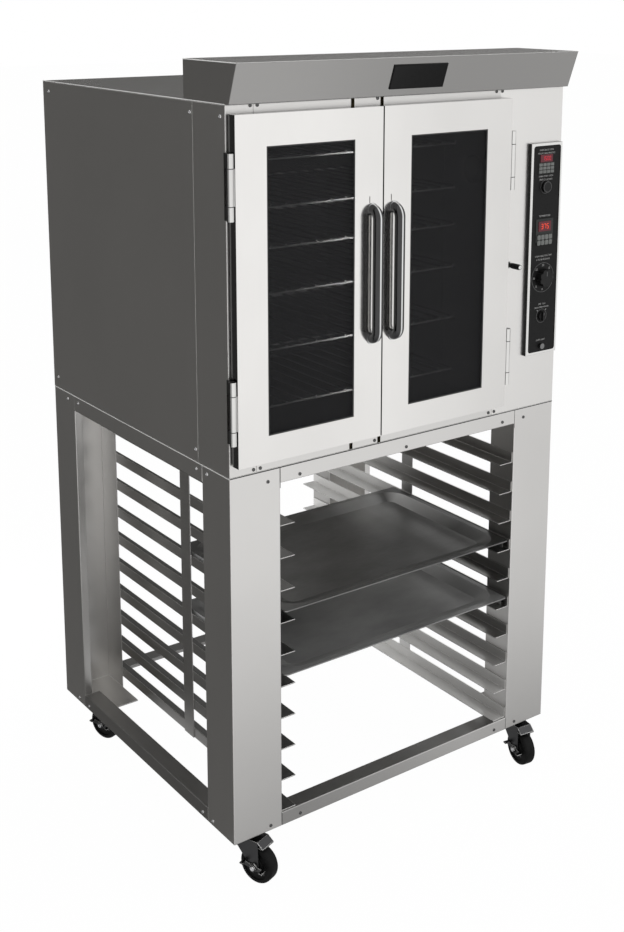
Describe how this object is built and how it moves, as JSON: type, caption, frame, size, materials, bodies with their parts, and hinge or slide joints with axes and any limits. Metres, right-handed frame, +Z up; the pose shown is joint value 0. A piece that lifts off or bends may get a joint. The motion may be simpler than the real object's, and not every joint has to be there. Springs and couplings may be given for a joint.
{
  "type": "convection oven",
  "caption": "Double-door convection oven with a slanted hood and side control panel, on an open stand with pan slides, sheet pans and braked swivel casters.",
  "frame": {"origin": "on the floor, under the centre of the whole object's bounding box", "axes": "+Z up, the doors face -Y, the control panel is on the +X side"},
  "size_m": [0.9568, 0.9252, 1.841],
  "materials": {
    "stainless_panel": "satin brushed",
    "polished_door": "polished",
    "stand_steel": "satin brushed",
    "bright_tube": "bright",
    "rack_wire": "bright plated",
    "cavity_steel": "satin",
    "mineral_wool": "matt",
    "motor_casting": "matt",
    "element_tube": "oxidised",
    "lamp_glass": "clear",
    "tinted_glass": "tinted",
    "gasket_rubber": "matt",
    "bezel_steel": "satin",
    "control_black": "satin",
    "display_red": "gloss",
    "key_grey": "matt",
    "knob_black": "matt",
    "button_metal": "bright",
    "fitting_metal": "satin",
    "inlet_nylon": "matt",
    "pan_aluminium": "dull, used",
    "caster_zinc": "zinc plated",
    "wheel_rubber": "matt"
  },
  "bodies": {
    "oven_and_stand": {"side_panels": "stainless_panel", "back_panel": "stainless_panel", "top_panel": "stainless_panel", "bottom_panel": "stainless_panel", "front_left_stile": "stainless_panel", "front_right_column": "stainless_panel", "front_strips": "stainless_panel", "hood_valance": "stainless_panel", "rear_access_cover": "stainless_panel", "cavity_liner": "cavity_steel", "rack_ladders": "cavity_steel", "fan_baffle": "cavity_steel", "insulation": "mineral_wool", "oven_racks": "rack_wire", "fan_motor": "motor_casting", "heating_element": "element_tube", "cavity_lamp": "lamp_glass", "control_bezel": "bezel_steel", "control_face": "control_black", "display_lenses": "display_red", "key_panels": "key_grey", "control_fittings": "fitting_metal", "hinge_fixed_leaves": "fitting_metal", "cable_inlet": "inlet_nylon", "stand_posts": "stand_steel", "stand_rails": "stand_steel", "pan_slide_ladders": "stand_steel", "caster_plates": "caster_zinc"},
    "left_door": {"left_hinge_door_leaves": "fitting_metal", "left_door_skin": "polished_door", "left_door_inner_panel": "polished_door", "left_door_glass": "tinted_glass", "left_door_gasket": "gasket_rubber", "left_door_handle": "bright_tube"},
    "right_door": {"right_hinge_door_leaves": "fitting_metal", "right_door_skin": "polished_door", "right_door_inner_panel": "polished_door", "right_door_glass": "tinted_glass", "right_door_gasket": "gasket_rubber", "right_door_handle": "bright_tube"},
    "upper_sheet_pan": {"upper_sheet_pan": "pan_aluminium"},
    "lower_sheet_pan": {"lower_sheet_pan": "pan_aluminium"},
    "circulation_fan": {"fan_wheel": "cavity_steel"},
    "steam_dial": {"steam_dial": "knob_black"},
    "power_selector": {"power_selector": "knob_black"},
    "timer_button": {"timer_button": "knob_black"},
    "light_button": {"light_button": "button_metal"},
    "damper_pull": {"damper_pull": "knob_black"},
    "front_left_swivel": {"front_left_caster_fork": "caster_zinc"},
    "front_left_wheel": {"front_left_caster_wheel": "wheel_rubber"},
    "front_left_brake": {"front_left_brake_lever": "caster_zinc"},
    "front_right_swivel": {"front_right_caster_fork": "caster_zinc"},
    "front_right_wheel": {"front_right_caster_wheel": "wheel_rubber"},
    "front_right_brake": {"front_right_brake_lever": "caster_zinc"},
    "rear_left_swivel": {"rear_left_caster_fork": "caster_zinc"},
    "rear_left_wheel": {"rear_left_caster_wheel": "wheel_rubber"},
    "rear_left_brake": {"rear_left_brake_lever": "caster_zinc"},
    "rear_right_swivel": {"rear_right_caster_fork": "caster_zinc"},
    "rear_right_wheel": {"rear_right_caster_wheel": "wheel_rubber"},
    "rear_right_brake": {"rear_right_brake_lever": "caster_zinc"}
  },
  "joints": [
    {"name": "left_door_hinge", "type": "hinge", "parent": "oven_and_stand", "child": "left_door", "pos_m": [-0.4704, -0.4234, 1.366], "axis": [0, 0, -1], "range_deg": [0, 180]},
    {"name": "right_door_hinge", "type": "hinge", "parent": "oven_and_stand", "child": "right_door", "pos_m": [0.2973, -0.4234, 1.366], "axis": [0, 0, 1], "range_deg": [0, 95]},
    {"name": "upper_sheet_pan_slide", "type": "slide", "parent": "oven_and_stand", "child": "upper_sheet_pan", "axis": [0, -1, 0], "range_m": [-0.36, 0.38]},
    {"name": "lower_sheet_pan_slide", "type": "slide", "parent": "oven_and_stand", "child": "lower_sheet_pan", "axis": [0, -1, 0], "range_m": [-0.36, 0.38]},
    {"name": "fan_spin", "type": "hinge", "parent": "oven_and_stand", "child": "circulation_fan", "pos_m": [-0.06285, 0.2696, 1.369], "axis": [0, 1, 0], "continuous": true},
    {"name": "steam_dial_turn", "type": "hinge", "parent": "oven_and_stand", "child": "steam_dial", "pos_m": [0.4214, -0.4024, 1.299], "axis": [0, 1, 0], "range_deg": [0, 300]},
    {"name": "power_selector_turn", "type": "hinge", "parent": "oven_and_stand", "child": "power_selector", "pos_m": [0.4214, -0.4024, 1.2035], "axis": [0, 1, 0], "range_deg": [0, 90]},
    {"name": "timer_button_press", "type": "slide", "parent": "oven_and_stand", "child": "timer_button", "axis": [0, 1, 0], "range_m": [0, 0.003], "stiffness_N_per_m": 400},
    {"name": "light_button_press", "type": "slide", "parent": "oven_and_stand", "child": "light_button", "axis": [0, 1, 0], "range_m": [0, 0.003], "stiffness_N_per_m": 400},
    {"name": "damper_pull_slide", "type": "slide", "parent": "oven_and_stand", "child": "damper_pull", "axis": [0, -1, 0], "range_m": [0, 0.035]},
    {"name": "front_left_caster_swivel", "type": "hinge", "parent": "oven_and_stand", "child": "front_left_swivel", "pos_m": [-0.4116, -0.3524, 0.1077], "axis": [0, 0, 1], "continuous": true},
    {"name": "front_left_wheel_spin", "type": "hinge", "parent": "front_left_swivel", "child": "front_left_wheel", "pos_m": [-0.39655, -0.39375, 0.044], "axis": [0.9397, 0.342, 0], "continuous": true},
    {"name": "front_left_brake_press", "type": "hinge", "parent": "front_left_swivel", "child": "front_left_brake", "pos_m": [-0.39655, -0.39375, 0.044], "axis": [-0.9397, -0.342, 0], "range_deg": [0, 16]},
    {"name": "front_right_caster_swivel", "type": "hinge", "parent": "oven_and_stand", "child": "front_right_swivel", "pos_m": [0.4224, -0.3524, 0.1077], "axis": [0, 0, 1], "continuous": true},
    {"name": "front_right_wheel_spin", "type": "hinge", "parent": "front_right_swivel", "child": "front_right_wheel", "pos_m": [0.41628, -0.39597, 0.044], "axis": [0.9903, -0.1392, 0], "continuous": true},
    {"name": "front_right_brake_press", "type": "hinge", "parent": "front_right_swivel", "child": "front_right_brake", "pos_m": [0.41628, -0.39597, 0.044], "axis": [-0.9903, 0.1392, 0], "range_deg": [0, 16]},
    {"name": "rear_left_caster_swivel", "type": "hinge", "parent": "oven_and_stand", "child": "rear_left_swivel", "pos_m": [-0.4116, 0.3986, 0.1077], "axis": [0, 0, 1], "continuous": true},
    {"name": "rear_left_wheel_spin", "type": "hinge", "parent": "rear_left_swivel", "child": "rear_left_wheel", "pos_m": [-0.39655, 0.35725, 0.044], "axis": [0.9397, 0.342, 0], "continuous": true},
    {"name": "rear_left_brake_press", "type": "hinge", "parent": "rear_left_swivel", "child": "rear_left_brake", "pos_m": [-0.39655, 0.35725, 0.044], "axis": [-0.9397, -0.342, 0], "range_deg": [0, 16]},
    {"name": "rear_right_caster_swivel", "type": "hinge", "parent": "oven_and_stand", "child": "rear_right_swivel", "pos_m": [0.4224, 0.3986, 0.1077], "axis": [0, 0, 1], "continuous": true},
    {"name": "rear_right_wheel_spin", "type": "hinge", "parent": "rear_right_swivel", "child": "rear_right_wheel", "pos_m": [0.43155, 0.35556, 0.044], "axis": [0.9781, 0.2079, 0], "continuous": true},
    {"name": "rear_right_brake_press", "type": "hinge", "parent": "rear_right_swivel", "child": "rear_right_brake", "pos_m": [0.43155, 0.35556, 0.044], "axis": [-0.9781, -0.2079, 0], "range_deg": [0, 16]}
  ]
}
